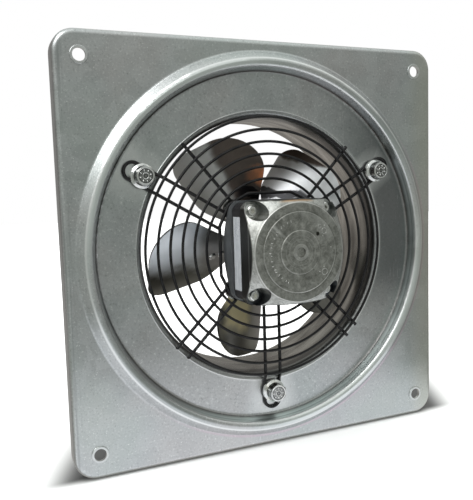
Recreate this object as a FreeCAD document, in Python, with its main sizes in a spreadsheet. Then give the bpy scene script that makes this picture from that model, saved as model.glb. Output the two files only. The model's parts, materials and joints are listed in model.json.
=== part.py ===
import FreeCAD, Part
import math
import os
import re
import Sketcher
from FreeCAD import Placement, Rotation, Vector

# Square-plate axial exhaust fan, intake side to the front.
# Frame: +X right and +Z up as seen from the intake side, +Y into the wall along the air flow.
# The origin is the centre of the four wall-bolt holes, on the front face of the plate.
# "n" below is the height of a point in front of that face, so n = -y.

DIMENSIONS = {
    # wall plate
    "plate_side": 316.0,
    "plate_corner": 16.0,
    "flange_depth": 15.0,
    "edge_bend": 4.0,
    "sheet": 1.5,
    "hole_spacing": 280.0,
    "hole_radius": 4.5,
    "collar_radius": 6.4,
    "collar_height": 0.8,
    "ring_join": 153.0,
    "bead_foot": 149.5,
    "bead_height": 6.2,
    "bead_crest": 5.0,
    "bead_outer_slope": 45.0,
    "bead_inner_slope": 72.0,
    "bead_bend": 4.0,
    "floor_depth": 4.0,
    "throat_radius": 101.0,
    "lip_bend": 5.5,
    "neck_end": 12.0,
    "duct_end": 60.0,
    # wire guard
    "ring_wire": 1.05,
    "spoke_wire": 1.25,
    "outer_ring": 100.6,
    "ring_pitch": 9.4,
    "ring_rise_inner": 1.8,
    "ring_rise_outer": 1.6,
    "frame_side": 42.6,
    "frame_kink": 18.5,
    "frame_corner": 34.6,
    "wire_bend": 6.0,
    "frame_bend": 5.0,
    "loop_inner_end": 44.5,
    "loop_step_start": 101.5,
    "loop_step_length": 4.4,
    "pair_inner_end": 46.0,
    "single_inner_end": 47.8,
    "loop_half_width": 6.5,
    "loop_centre": 122.5,
    "pair_half_width": 6.0,
    "spoke_tip": 105.5,
    # guard bolts, M8 with a hexagon flange head
    "bolt_circle": 115.0,
    "bolt_shank": 3.95,
    "bolt_hole": 4.5,
    "bolt_flats": 13.0,
    "bolt_flange": 8.95,
    "bolt_flange_thick": 1.6,
    "bolt_head": 8.4,
    "bolt_length": 16.0,
    "washer_radius": 9.0,
    "washer_thick": 1.6,
    "nut_flats": 13.0,
    "nut_thick": 6.5,
    "spacer_width": 10.2,
    "spacer_length": 15.0,
    "spacer_shift": 2.0,
    "fastener_hole": 4.2,
    "spacer_thick": 2.4,
    # motor
    "motor_side": 75.0,
    "motor_corner": 8.0,
    "motor_front": 48.0,
    "stack_front": 28.0,
    "stack_back": 11.0,
    "motor_back": -6.0,
    "disc_radius": 35.5,
    "dome_radius": 50.0,
    "dome_drop": 14.0,
    "shell_wall": 4.0,
    "winding_room": 5.7,
    "front_recess": 26.0,
    "rear_recess": 24.0,
    "rear_wall": 2.5,
    "face_radius": 29.2,
    "face_rise": 0.6,
    "centre_radius": 15.7,
    "centre_rise": 1.2,
    "button_radius": 5.6,
    "button_rise": 1.7,
    "dimple_radius": 3.6,
    "dimple_depth": 1.1,
    "face_round": 0.4,
    "vent_radius": 1.5,
    "vent_x": 14.3,
    "vent_z": 12.5,
    "vent_depth": 3.0,
    "shaft_opening": 5.2,
    "inlet_radius": 2.8,
    "inlet_depth": 8.0,
    "inlet_y": -6.6,
    "label_width": 11.6,
    "label_length": 54.0,
    "label_thick": 0.5,
    "label_front": 25.3,
    "stack_side": 72.0,
    "stator_bore": 18.0,
    "slot_inner": 22.0,
    "slot_outer": 33.0,
    "pole_width": 14.0,
    "bobbin_wall": 0.8,
    "coil_width": 4.5,
    "coil_inner": 22.6,
    "coil_outer": 30.0,
    "coil_round": 2.0,
    "fit_gap": 0.1,
    "screw_offset_x": 30.0,
    "screw_offset_z": 30.5,
    "screw_radius": 2.0,
    "screw_hole": 2.3,
    "screw_head": 3.7,
    "screw_head_height": 3.2,
    "screw_socket_flats": 3.0,
    "screw_socket_depth": 2.0,
    "screw_washer_thick": 0.8,
    "well_radius": 7.0,
    "well_floor": 30.0,
    "seat_level": 3.1,
    "clamp_radius": 8.0,
    "clamp_thick": 2.0,
    "clamp_top": -1.95,
    "clamp_collar": 3.4,
    "clamp_nut_flats": 7.0,
    "clamp_nut_thick": 3.2,
    # bearings, 8 x 22 x 7
    "bearing_bore": 4.0,
    "bearing_outer": 11.0,
    "bearing_width": 7.0,
    "bearing_inner_race": 6.0,
    "bearing_outer_race": 9.0,
    "bearing_front": 43.0,
    "bearing_rear": 2.8,
    "boss_radius": 14.5,
    "preload_thick": 0.8,
    # rotor and impeller
    "shaft_radius": 4.0,
    "shaft_shoulder": 5.2,
    "shaft_front": 42.6,
    "shaft_end": -48.0,
    "rotor_radius": 17.6,
    "cage_radius": 17.0,
    "cage_inner": 9.0,
    "cage_thick": 2.8,
    "boss_front": -14.0,
    "boss_back": -44.0,
    "hub_radius": 10.0,
    "spider_radius": 19.0,
    "spider_thick": 5.0,
    "blade_level": -28.8,
    "blade_pitch": 36.5,
    "blade_thick": 1.5,
    "blade_camber": 120.0,
    "arm_width": 13.0,
    "arm_end": 42.0,
    "arm_thick": 2.0,
    "arm_gap": 0.25,
    "set_screw_radius": 2.0,
    "rivet_inner": 30.0,
    "rivet_outer": 38.0,
    "rivet_radius": 1.9,
    "rivet_head": 3.4,
    "rivet_head_thick": 1.1,
}

LOOP_ANGLES = (30.0, 150.0, 270.0)
PAIR_ANGLES = (225.0, 315.0)
SINGLE_ANGLES = (47.0, 130.5)
BLADE_ANGLES = (46.0, 118.0, 190.0, 262.0, 334.0)
RING_COUNT = 6
BALL_COUNT = 8
CORNERS = ((1, 1), (-1, 1), (-1, -1), (1, -1))
FUNCTIONS = ("tan", "cos", "sin", "sqrt")

doc = FreeCAD.newDocument("exhaust_fan")
dims = doc.addObject("Spreadsheet::Sheet", "Dims")
for row, (alias, value) in enumerate(DIMENSIONS.items(), start=1):
    dims.set(f"A{row}", alias)
    dims.set(f"B{row}", str(value))
    dims.setAlias(f"B{row}", alias)
doc.recompute()

nodes = {}


# ---------------------------------------------------------------- general helpers

def size(alias):
    """The value of one cell of the sheet."""
    return float(dims.get(alias))


def bind(target, path, text):
    """Drive a property by a formula written in the sheet's names."""
    def cell(word):
        return word.group() if word.group() in FUNCTIONS else "Dims." + word.group()
    target.setExpression(path, re.sub(r"\b[a-z_]+\b", cell, text))


def keep(label, item):
    """Give a finished sub-part its label and its place in the list of nodes."""
    item.Label = label
    nodes[label] = item
    return item


def new_body(name):
    return doc.addObject("PartDesign::Body", name + "_body")


def origin_feature(body, role):
    return next(item for item in body.Origin.OriginFeatures if item.Role == role)


def new_sketch(body, name, role="XZ_Plane", level="0"):
    """A sketch on one of the body's own planes, moved along the plane's normal."""
    sketch = body.newObject("Sketcher::SketchObject", name)
    sketch.AttachmentSupport = [(origin_feature(body, role), "")]
    sketch.MapMode = "FlatFace"
    bind(sketch, "AttachmentOffset.Base.z", level)
    return sketch


def pin_point(sketch, geometry, vertex, across, up):
    """Fix one point of a sketch at two driven coordinates."""
    for kind, text in (("DistanceX", across), ("DistanceY", up)):
        number = sketch.addConstraint(Sketcher.Constraint(kind, geometry, vertex, 1.0))
        bind(sketch, f"Constraints[{number}]", text)


def circle(sketch, radius, across="0", up="0"):
    number = sketch.addGeometry(Part.Circle(Vector(0, 0, 0), Vector(0, 0, 1), 1.0))
    pin_point(sketch, number, 3, across, up)
    constraint = sketch.addConstraint(Sketcher.Constraint("Radius", number, 1.0))
    bind(sketch, f"Constraints[{constraint}]", radius)


def polygon(sketch, corners):
    """A closed outline of straight sides with driven corners."""
    count = len(corners)
    turn = 2 * math.pi / count
    start = [Vector(math.cos(turn * i), math.sin(turn * i), 0) for i in range(count)]
    lines = [
        sketch.addGeometry(Part.LineSegment(start[i], start[(i + 1) % count]))
        for i in range(count)
    ]
    for i, (across, up) in enumerate(corners):
        sketch.addConstraint(Sketcher.Constraint("Coincident", lines[i - 1], 2, lines[i], 1))
        pin_point(sketch, lines[i], 1, across, up)


def rectangle(sketch, half_width, half_height, across="0", up="0"):
    corners = [
        (f"{across} + ({sx} * ({half_width}))", f"{up} + ({sz} * ({half_height}))")
        for sx, sz in CORNERS
    ]
    polygon(sketch, corners)


def hexagon(sketch, flats, turn=0.0):
    """A hexagon by its size across flats, about the sketch's origin."""
    reach = f"({flats} / 2 / cos(30))"
    angles = [turn + 60.0 * i for i in range(6)]
    polygon(sketch, [(f"{reach} * cos({a})", f"{reach} * sin({a})") for a in angles])


def polar(radius, angle):
    """Driven coordinates of a point at an angle from +X towards +Z."""
    return f"{radius} * cos({angle})", f"{radius} * sin({angle})"


def solid(body, name, front, depth, draw):
    """Pad a sketch from the level n = front back towards the wall."""
    sketch = new_sketch(body, name + "_sketch", level=front)
    draw(sketch)
    feature = body.newObject("PartDesign::Pad", name)
    feature.Profile = sketch
    feature.Reversed = True
    bind(feature, "Length", depth)
    doc.recompute()
    return feature


def cut(body, name, front, depth, draw):
    """Pocket a sketch from the level n = front back towards the wall."""
    before = body.Shape.Volume
    sketch = new_sketch(body, name + "_sketch", level=front)
    draw(sketch)
    feature = body.newObject("PartDesign::Pocket", name)
    feature.Profile = sketch
    bind(feature, "Length", depth)
    doc.recompute()
    if body.Shape.Volume >= before:
        raise RuntimeError(name + " cuts nothing")
    return feature


def turned(body, name, outline, groove=False):
    """Turn an outline of (n, radius) points about the fan's axis."""
    before = 0.0 if body.Tip is None else body.Shape.Volume
    sketch = new_sketch(body, name + "_sketch", role="YZ_Plane")
    polygon(sketch, [(f"-({n})", radius) for n, radius in outline])
    kind = "PartDesign::Groove" if groove else "PartDesign::Revolution"
    feature = body.newObject(kind, name)
    feature.Profile = sketch
    feature.ReferenceAxis = (sketch, ["H_Axis"])
    feature.Angle = 360
    doc.recompute()
    if groove and body.Shape.Volume >= before:
        raise RuntimeError(name + " cuts nothing")
    return feature


def fillet(body, name, radius, chosen):
    """Round the edges of the body's tip that the test picks out."""
    base = body.Tip
    edges = [f"Edge{i}" for i, edge in enumerate(base.Shape.Edges, start=1) if chosen(edge)]
    if not edges:
        raise RuntimeError(name + " finds no edges")
    feature = body.newObject("PartDesign::Fillet", name)
    feature.Base = (base, edges)
    bind(feature, "Radius", radius)
    doc.recompute()
    return feature


def hollow_out(body, name, wall, open_level):
    """Shell the body's tip inwards to a wall thickness, open at one level."""
    base = body.Tip
    faces = [f"Face{i}" for i, face in enumerate(base.Shape.Faces, start=1) if at_level(face, open_level)]
    feature = body.newObject("PartDesign::Thickness", name)
    feature.Base = (base, faces)
    feature.Reversed = True
    bind(feature, "Value", wall)
    doc.recompute()
    return feature


def along_axis(edge):
    """True for a straight edge parallel to Y."""
    box = edge.BoundBox
    return box.YLength > 0.1 and box.XLength < 1e-6 and box.ZLength < 1e-6


def at_level(edge, n):
    """True for an edge that lies in the plane at height n."""
    box = edge.BoundBox
    return box.YLength < 1e-6 and abs(box.YMin + n) < 1e-6


def ring_edge(n, radius):
    """A test for the circle about the fan's axis with this height and radius."""
    def test(edge):
        round_edge = hasattr(edge.Curve, "Radius") and at_level(edge, n)
        return round_edge and abs(edge.Curve.Radius - radius) < 1e-6
    return test


def group(label, solids):
    """One node made of several separate solids."""
    item = doc.addObject("Part::Feature", label)
    item.Shape = Part.makeCompound(solids)
    return keep(label, item)


def placed(master, placement):
    """A copy of a finished piece at another place."""
    shape = master.Shape.copy()
    shape.Placement = placement.multiply(shape.Placement)
    return shape


def about_axis(angle, radius=0.0, n=0.0):
    """The place on the fan's face at an angle from +X towards +Z."""
    a = math.radians(angle)
    return Placement(Vector(radius * math.cos(a), -n, radius * math.sin(a)), Rotation())


# ---------------------------------------------------------------- wall plate

def ring_outline():
    """Section of the pressed ring: plate, bead, sunk floor, lip and short neck, one sheet thick."""
    crest_out = "bead_foot - bead_height / tan(bead_outer_slope)"
    crest_in = f"{crest_out} - bead_crest"
    inner_foot = f"{crest_in} - (bead_height + floor_depth) / tan(bead_inner_slope)"
    outer_shift = "sheet * tan(bead_outer_slope / 2)"
    inner_shift = "sheet * tan(bead_inner_slope / 2)"
    return [
        ("0", "ring_join"),
        ("0", "bead_foot"),
        ("bead_height", crest_out),
        ("bead_height", crest_in),
        ("-floor_depth", inner_foot),
        ("-floor_depth", "throat_radius"),
        ("-neck_end", "throat_radius"),
        ("-neck_end", "throat_radius + sheet"),
        ("-floor_depth - sheet", "throat_radius + sheet"),
        ("-floor_depth - sheet", f"{inner_foot} + {inner_shift}"),
        ("bead_height - sheet", f"{crest_in} + {inner_shift}"),
        ("bead_height - sheet", f"{crest_out} - {outer_shift}"),
        ("-sheet", f"bead_foot - {outer_shift}"),
        ("-sheet", "ring_join"),
    ]


def bend_ring(body):
    """Round every bend of the ring: one radius outside and a smaller one inside the sheet."""
    sheet = size("sheet")
    height = size("bead_height")
    floor = -size("floor_depth")
    throat = size("throat_radius")
    foot = size("bead_foot")
    outer_slope = math.radians(size("bead_outer_slope"))
    inner_slope = math.radians(size("bead_inner_slope"))
    crest_out = foot - height / math.tan(outer_slope)
    crest_in = crest_out - size("bead_crest")
    inner_foot = crest_in - (height - floor) / math.tan(inner_slope)
    outer_shift = sheet * math.tan(outer_slope / 2)
    inner_shift = sheet * math.tan(inner_slope / 2)
    outside = [
        (height, crest_out),
        (height, crest_in),
        (floor - sheet, inner_foot + inner_shift),
        (-sheet, foot - outer_shift),
    ]
    inside = [
        (height - sheet, crest_out - outer_shift),
        (height - sheet, crest_in + inner_shift),
        (floor, inner_foot),
        (0.0, foot),
    ]
    for name, radius, rings in (
        ("outside_bends", "bead_bend", outside),
        ("inside_bends", "bead_bend - sheet", inside),
        ("lip_outside", "lip_bend", [(floor, throat)]),
        ("lip_inside", "lip_bend - sheet", [(floor - sheet, throat + sheet)]),
    ):
        tests = [ring_edge(n, radius_there) for n, radius_there in rings]
        fillet(body, name, radius, lambda edge: any(test(edge) for test in tests))


def wall_plate():
    body = new_body("wall_plate")
    half = "plate_side / 2"

    solid(body, "tray", "0", "flange_depth", lambda s: rectangle(s, half, half))
    fillet(body, "tray_corners", "plate_corner", along_axis)
    fillet(body, "tray_edge", "edge_bend", lambda e: at_level(e, 0.0))
    hollow_out(body, "tray_shell", "sheet", -size("flange_depth"))
    cut(body, "ring_opening", "0", "flange_depth", lambda s: circle(s, "ring_join"))
    turned(body, "pressed_ring", ring_outline())
    bend_ring(body)

    def wall_holes(sketch, radius):
        for sx, sz in CORNERS:
            circle(sketch, radius, f"{sx} * hole_spacing / 2", f"{sz} * hole_spacing / 2")

    solid(body, "collars", "collar_height", "collar_height", lambda s: wall_holes(s, "collar_radius"))
    fillet(body, "collar_edge", "collar_height * 0.7", lambda e: at_level(e, size("collar_height")))
    cut(body, "wall_holes", "collar_height", "collar_height + 2 * sheet",
        lambda s: wall_holes(s, "hole_radius"))

    def guard_holes(sketch):
        for angle in LOOP_ANGLES:
            circle(sketch, "bolt_hole", *polar("bolt_circle", angle))

    cut(body, "guard_holes", "1 - floor_depth", "1 + 2 * sheet", guard_holes)
    keep("wall_plate", body)


def duct_sleeve():
    """Rolled sleeve, seam welded edge to edge on the neck of the plate."""
    body = new_body("duct_sleeve")
    sleeve = [
        ("-neck_end", "throat_radius"),
        ("-duct_end", "throat_radius"),
        ("-duct_end", "throat_radius + sheet"),
        ("-neck_end", "throat_radius + sheet"),
    ]
    turned(body, "sleeve", sleeve)
    keep("duct_sleeve", body)


# ---------------------------------------------------------------- wire guard

def guard_level(radius):
    """Height of the guard's rings, which rises a little from the rim to the motor."""
    outer = size("outer_ring")
    inner = size("frame_side")
    share = (outer - radius) / (outer - inner)
    return size("ring_rise_outer") + share * (size("ring_rise_inner") - size("ring_rise_outer"))


def spoke_level(radius):
    """Height of the spokes' centreline, on the wall side of the rings and touching them."""
    return guard_level(radius) - size("ring_wire") - size("spoke_wire") + 0.05


def bent_wire(points, bends, radius, closed=False):
    """Round wire along straight runs joined by tangent arcs, one bend radius per inner corner."""
    if closed:
        middle = (points[0] + points[-1]) * 0.5
        points = [middle] + points + [middle]
    edges = []
    last = points[0]
    for before, here, after, bend in zip(points, points[1:], points[2:], bends):
        arriving = (here - before).normalize()
        leaving = (after - here).normalize()
        turn = arriving.getAngle(leaving)
        setback = bend * math.tan(turn / 2)
        begin = here - arriving * setback
        end = here + leaving * setback
        inward = (leaving - arriving).normalize()
        crown = here + inward * (bend / math.cos(turn / 2) - bend)
        if (begin - last).Length > 1e-6:
            edges.append(Part.LineSegment(last, begin).toShape())
        edges.append(Part.Arc(begin, crown, end).toShape())
        last = end
    if (points[-1] - last).Length > 1e-6:
        edges.append(Part.LineSegment(last, points[-1]).toShape())
    path = Part.Wire(edges)
    section = Part.Wire(Part.makeCircle(radius, points[0], points[1] - points[0]))
    return path.makePipeShell([section], True, True)


def straight_wire(start, end, radius):
    """A cut length of round wire."""
    return Part.makeCylinder(radius, (end - start).Length, start, end - start)


def guard_point(angle, radius, aside, n):
    """A point given along a spoke's direction, aside from it and above the plate."""
    a = math.radians(angle)
    across = radius * math.cos(a) - aside * math.sin(a)
    up = radius * math.sin(a) + aside * math.cos(a)
    return Vector(across, -n, up)


def guard_rings():
    rings = []
    for i in range(RING_COUNT):
        ring = doc.addObject("Part::Torus", f"guard_ring_{i + 1}")
        bind(ring, "Radius1", f"outer_ring - {i} * ring_pitch")
        bind(ring, "Radius2", "ring_wire")
        level = guard_level(size("outer_ring") - i * size("ring_pitch"))
        ring.Placement = Placement(Vector(0, -level, 0), Rotation(Vector(1, 0, 0), 90))
        rings.append(ring)
    compound = doc.addObject("Part::Compound", "guard_rings_set")
    compound.Links = rings
    keep("guard_rings", compound)


def guard_inner_frame():
    """Kinked wire frame that carries the motor by its corners."""
    side = size("frame_side")
    kink = size("frame_kink")
    corner = size("frame_corner")
    quarter = [(side, kink), (corner, corner), (kink, side)]
    points = []
    for turn in range(4):
        a = math.radians(90.0 * turn)
        for x, z in quarter:
            points.append(Vector(
                x * math.cos(a) - z * math.sin(a),
                -size("ring_rise_inner"),
                x * math.sin(a) + z * math.cos(a),
            ))
    bends = [size("frame_bend")] * len(points)
    frame = bent_wire(points, bends, size("spoke_wire"), closed=True)
    group("guard_inner_frame", [frame])


def guard_loops():
    """Three hairpin wires that step down to the sunk floor and turn round the guard bolts."""
    half = size("loop_half_width")
    wire = size("spoke_wire")
    bend = size("wire_bend")
    inner_end = size("loop_inner_end")
    step_start = size("loop_step_start")
    step_end = step_start + size("loop_step_length")
    loop_end = size("loop_centre") + half
    on_floor = wire - size("floor_depth")
    loops = []
    for angle in LOOP_ANGLES:
        run = [
            (inner_end, spoke_level(inner_end)),
            (step_start, spoke_level(step_start)),
            (step_end, on_floor),
            (loop_end, on_floor),
        ]
        out = [guard_point(angle, radius, -half, n) for radius, n in run]
        back = [guard_point(angle, radius, half, n) for radius, n in reversed(run)]
        loops.append(bent_wire(out + back, [bend, bend, half, half, bend, bend], wire))
    group("guard_loops", loops)


def guard_spokes(label, angles, asides, inner_end):
    tip = size("spoke_tip")
    wires = []
    for angle in angles:
        for aside in asides:
            start = guard_point(angle, inner_end, aside, spoke_level(inner_end))
            end = guard_point(angle, tip, aside, spoke_level(tip))
            wires.append(straight_wire(start, end, size("spoke_wire")))
    group(label, wires)


def wire_guard():
    pair = size("pair_half_width")
    guard_rings()
    guard_inner_frame()
    guard_loops()
    guard_spokes("guard_pair_spokes", PAIR_ANGLES, (-pair, pair), size("pair_inner_end"))
    guard_spokes("guard_single_spokes", SINGLE_ANGLES, (0.0,), size("single_inner_end"))


# ---------------------------------------------------------------- guard fasteners

def bolt_places():
    """Where the guard's bolts stand, with the loop's direction as the local X axis."""
    places = []
    for angle in LOOP_ANGLES:
        spot = about_axis(angle, size("bolt_circle"))
        places.append(Placement(spot.Base, Rotation(Vector(0, 1, 0), -angle)))
    return places


def guard_fasteners():
    wire_top = "2 * spoke_wire - floor_depth"
    head_base = f"{wire_top} + washer_thick"

    bolt = new_body("guard_bolt")
    solid(bolt, "hex_head", f"{head_base} + bolt_head", "bolt_head", lambda s: hexagon(s, "bolt_flats"))
    turned(bolt, "flange_and_shank", [
        (f"{head_base} + bolt_flange_thick + 0.6", "0"),
        (f"{head_base} + bolt_flange_thick + 0.6", "bolt_flange * 0.8"),
        (f"{head_base} + bolt_flange_thick * 0.5", "bolt_flange"),
        (head_base, "bolt_flange"),
        (head_base, "bolt_shank"),
        (f"{head_base} + 0.7 - bolt_length", "bolt_shank"),
        (f"{head_base} - bolt_length", "bolt_shank - 0.7"),
        (f"{head_base} - bolt_length", "0"),
    ])
    turned(bolt, "head_chamfer", [
        (f"{head_base} + bolt_head + 1", "bolt_flats / 2 - 1.2"),
        (f"{head_base} + bolt_head", "bolt_flats / 2 - 0.2"),
        (f"{head_base} + bolt_head - 1", "bolt_flats / 2 + 1.4"),
        (f"{head_base} + bolt_head + 1", "bolt_flats / 2 + 1.4"),
    ], groove=True)
    group("guard_bolts", [placed(bolt, place) for place in bolt_places()])

    washer = new_body("guard_washer")
    solid(washer, "washer_disc", head_base, "washer_thick", lambda s: circle(s, "washer_radius"))
    cut(washer, "washer_hole", head_base, "washer_thick", lambda s: circle(s, "fastener_hole"))
    group("guard_washers", [placed(washer, place) for place in bolt_places()])

    spacer = new_body("guard_spacer")
    solid(spacer, "spacer_block", "spacer_thick - floor_depth", "spacer_thick",
          lambda s: rectangle(s, "spacer_length / 2", "spacer_width / 2", across="spacer_shift"))
    fillet(spacer, "spacer_ends", "spacer_width / 2 - 0.1", along_axis)
    cut(spacer, "spacer_hole", "spacer_thick - floor_depth", "spacer_thick",
        lambda s: circle(s, "fastener_hole"))
    group("guard_spacers", [placed(spacer, place) for place in bolt_places()])

    nut = new_body("weld_nut")
    solid(nut, "nut_hex", "-floor_depth - sheet", "nut_thick", lambda s: hexagon(s, "nut_flats"))
    cut(nut, "nut_bore", "-floor_depth - sheet", "nut_thick", lambda s: circle(s, "bolt_shank + 0.02"))
    group("weld_nuts", [placed(nut, place) for place in bolt_places()])


# ---------------------------------------------------------------- motor

def at_screws(sketch, radius):
    """Four circles on the motor's screw axes."""
    for sx, sz in CORNERS:
        circle(sketch, radius, f"{sx} * screw_offset_x", f"{sz} * screw_offset_z")


def front_shield():
    """Cast front end shield: square skirt, face falling away to the corners, bearing pocket."""
    body = new_body("front_shield")
    half = "motor_side / 2"
    depth = "motor_front - stack_front"
    solid(body, "casting", "motor_front", depth, lambda s: rectangle(s, half, half))
    fillet(body, "casting_corners", "motor_corner", along_axis)
    turned(body, "fallen_corners", [
        ("motor_front", "disc_radius"),
        ("motor_front - dome_drop", "dome_radius"),
        ("motor_front - dome_drop", "dome_radius + 12"),
        ("motor_front + 2", "dome_radius + 12"),
        ("motor_front + 2", "disc_radius"),
    ], groove=True)
    cut(body, "winding_space", "stack_front + winding_room", "winding_room",
        lambda s: circle(s, "slot_outer"))
    cut(body, "inner_space", "motor_front - shell_wall", f"{depth} - shell_wall",
        lambda s: circle(s, "front_recess"))
    solid(body, "bearing_boss", "motor_front - shell_wall",
          "motor_front - shell_wall - bearing_front + bearing_width + preload_thick",
          lambda s: circle(s, "boss_radius"))
    cut(body, "bearing_pocket", "bearing_front + preload_thick",
        "bearing_width + preload_thick + 2", lambda s: circle(s, "bearing_outer"))
    cut(body, "screw_wells", "motor_front", "motor_front - well_floor",
        lambda s: at_screws(s, "well_radius"))
    cut(body, "screw_holes", "well_floor", "well_floor - stack_front",
        lambda s: at_screws(s, "screw_hole"))
    for name in ("face", "centre", "button"):
        rise = f"{name}_rise"
        radius = f"{name}_radius"
        solid(body, f"raised_{name}", f"motor_front + {rise}", rise, lambda s: circle(s, radius))
    cut(body, "button_dimple", "motor_front + button_rise", "dimple_depth",
        lambda s: circle(s, "dimple_radius"))
    cut(body, "vent_hole", "motor_front + face_rise", "vent_depth",
        lambda s: circle(s, "vent_radius", "vent_x", "vent_z"))
    for name in ("face", "centre"):
        rim = ring_edge(size("motor_front") + size(f"{name}_rise"), size(f"{name}_radius"))
        fillet(body, f"{name}_edge", "face_round", rim)
    keep("front_shield", body)


def rear_shield():
    """Cast rear end shield with the clamp seats for the guard frame and the shaft opening."""
    body = new_body("rear_shield")
    half = "motor_side / 2"
    depth = "stack_back - motor_back"
    solid(body, "casting", "stack_back", depth, lambda s: rectangle(s, half, half))
    fillet(body, "casting_corners", "motor_corner", along_axis)
    turned(body, "fallen_corners", [
        ("motor_back", "disc_radius"),
        ("motor_back + dome_drop", "dome_radius"),
        ("motor_back + dome_drop", "dome_radius + 12"),
        ("motor_back - 2", "dome_radius + 12"),
        ("motor_back - 2", "disc_radius"),
    ], groove=True)
    cut(body, "winding_space", "stack_back", "winding_room", lambda s: circle(s, "slot_outer"))
    cut(body, "inner_space", "stack_back", f"{depth} - rear_wall", lambda s: circle(s, "rear_recess"))
    solid(body, "bearing_boss", "bearing_rear + 1", "bearing_rear + 1 - motor_back",
          lambda s: circle(s, "boss_radius"))
    cut(body, "bearing_pocket", "bearing_rear + 1", "bearing_width + 1",
        lambda s: circle(s, "bearing_outer"))
    cut(body, "shaft_passage", "stack_back", depth, lambda s: circle(s, "shaft_opening"))
    cut(body, "clamp_seats", "seat_level", "seat_level - motor_back",
        lambda s: at_screws(s, "clamp_radius + 1"))
    cut(body, "screw_holes", "stack_back", depth, lambda s: at_screws(s, "screw_hole"))
    cable_inlet(body)
    keep("rear_shield", body)


def cable_inlet(body):
    """Round inlet for the supply cord in the right side of the rear shield."""
    before = body.Shape.Volume
    inlet = new_sketch(body, "cable_inlet_sketch", role="YZ_Plane", level="motor_side / 2")
    circle(inlet, "inlet_radius", "inlet_y")
    pocket = body.newObject("PartDesign::Pocket", "cable_inlet")
    pocket.Profile = inlet
    bind(pocket, "Length", "inlet_depth")
    doc.recompute()
    if body.Shape.Volume >= before:
        raise RuntimeError("cable_inlet cuts nothing")


def cable_grommet():
    """Rubber bush in the cable inlet on the side of the rear shield."""
    side = size("motor_side") / 2
    inner_end = side - 5.0
    outer_end = side + 1.4
    neck = size("inlet_radius") - 0.05
    bore = 1.6
    collar = 4.0
    outline = [(inner_end, neck), (side, neck), (side, collar), (outer_end, collar - 0.6),
               (outer_end, bore), (inner_end, bore)]
    wire = Part.makePolygon([Vector(x, r, 0) for x, r in outline + outline[:1]])
    bush = Part.Face(wire).revolve(Vector(0, 0, 0), Vector(1, 0, 0), 360)
    bush.translate(Vector(0, size("inlet_y"), 0))
    group("cable_grommet", [bush])


def stator():
    """Laminated stack with four poles, their bobbins and their coils."""
    body = new_body("stator_core")
    stack = "stack_front - stack_back"
    half = "stack_side / 2"
    solid(body, "laminations", "stack_front", stack, lambda s: rectangle(s, half, half))
    fillet(body, "stack_corners", "motor_corner - 1.5", along_axis)
    cut(body, "bore", "stack_front", stack, lambda s: circle(s, "stator_bore"))

    def slots(sketch):
        circle(sketch, "slot_inner")
        circle(sketch, "slot_outer")

    cut(body, "winding_slots", "stack_front", stack, slots)
    pole = "pole_width / 2"
    reach = "(slot_outer + slot_inner) / 2"
    length = "(slot_outer - slot_inner) / 2 + 1"
    for number, (sx, sz) in enumerate(((1, 0), (0, 1), (-1, 0), (0, -1)), start=1):
        width, height = (length, pole) if sz == 0 else (pole, length)
        solid(body, f"pole_{number}", "stack_front", stack, lambda s: rectangle(
            s, width, height, f"{sx} * {reach}", f"{sz} * {reach}"))
    cut(body, "screw_holes", "stack_front", stack, lambda s: at_screws(s, "screw_hole"))
    keep("stator_core", body)

    def frame_piece(name, hole_half, wall, overhang, inner, outer):
        """A rectangular winding frame round the pole that points along +X."""
        piece = new_body(name)
        middle = f"(({inner} + {outer}) / 2)"
        wide = f"(({outer} - {inner}) / 2)"
        solid(piece, name + "_block", f"stack_front + {overhang}", f"{stack} + 2 * ({overhang})",
              lambda s: rectangle(s, wide, f"{hole_half} + {wall}", middle))
        cut(piece, name + "_window", f"stack_front + {overhang} - {wall}",
            f"{stack} + 2 * ({overhang}) - 2 * ({wall})",
            lambda s: rectangle(s, f"{wide} + 1", hole_half, middle))
        return piece

    bobbin = frame_piece("coil_bobbin", "(pole_width / 2 + fit_gap)", "bobbin_wall",
                         "(bobbin_wall + fit_gap)", "coil_inner", "coil_outer")
    coil = frame_piece("stator_coil", "(pole_width / 2 + 2 * fit_gap + bobbin_wall)", "coil_width",
                       "(bobbin_wall + 2 * fit_gap + coil_width)", "coil_inner", "coil_outer")
    fillet(coil, "coil_rounding", "coil_round", outer_coil_edge)
    turns = [Placement(Vector(), Rotation(Vector(0, 1, 0), 90.0 * i)) for i in range(4)]
    group("coil_bobbins", [placed(bobbin, turn) for turn in turns])
    group("stator_coils", [placed(coil, turn) for turn in turns])


def outer_coil_edge(edge):
    """The long outer edges of a coil, which run along the radius."""
    box = edge.BoundBox
    outer = size("pole_width") / 2 + 2 * size("fit_gap") + size("bobbin_wall") + size("coil_width")
    radial = box.XLength > 1.0 and box.YLength < 1e-6 and box.ZLength < 1e-6
    return radial and abs(abs(box.ZMin) - outer) < 1e-6


def screw_places():
    return [
        Placement(Vector(sx * size("screw_offset_x"), 0, sz * size("screw_offset_z")), Rotation())
        for sx, sz in CORNERS
    ]


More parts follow.
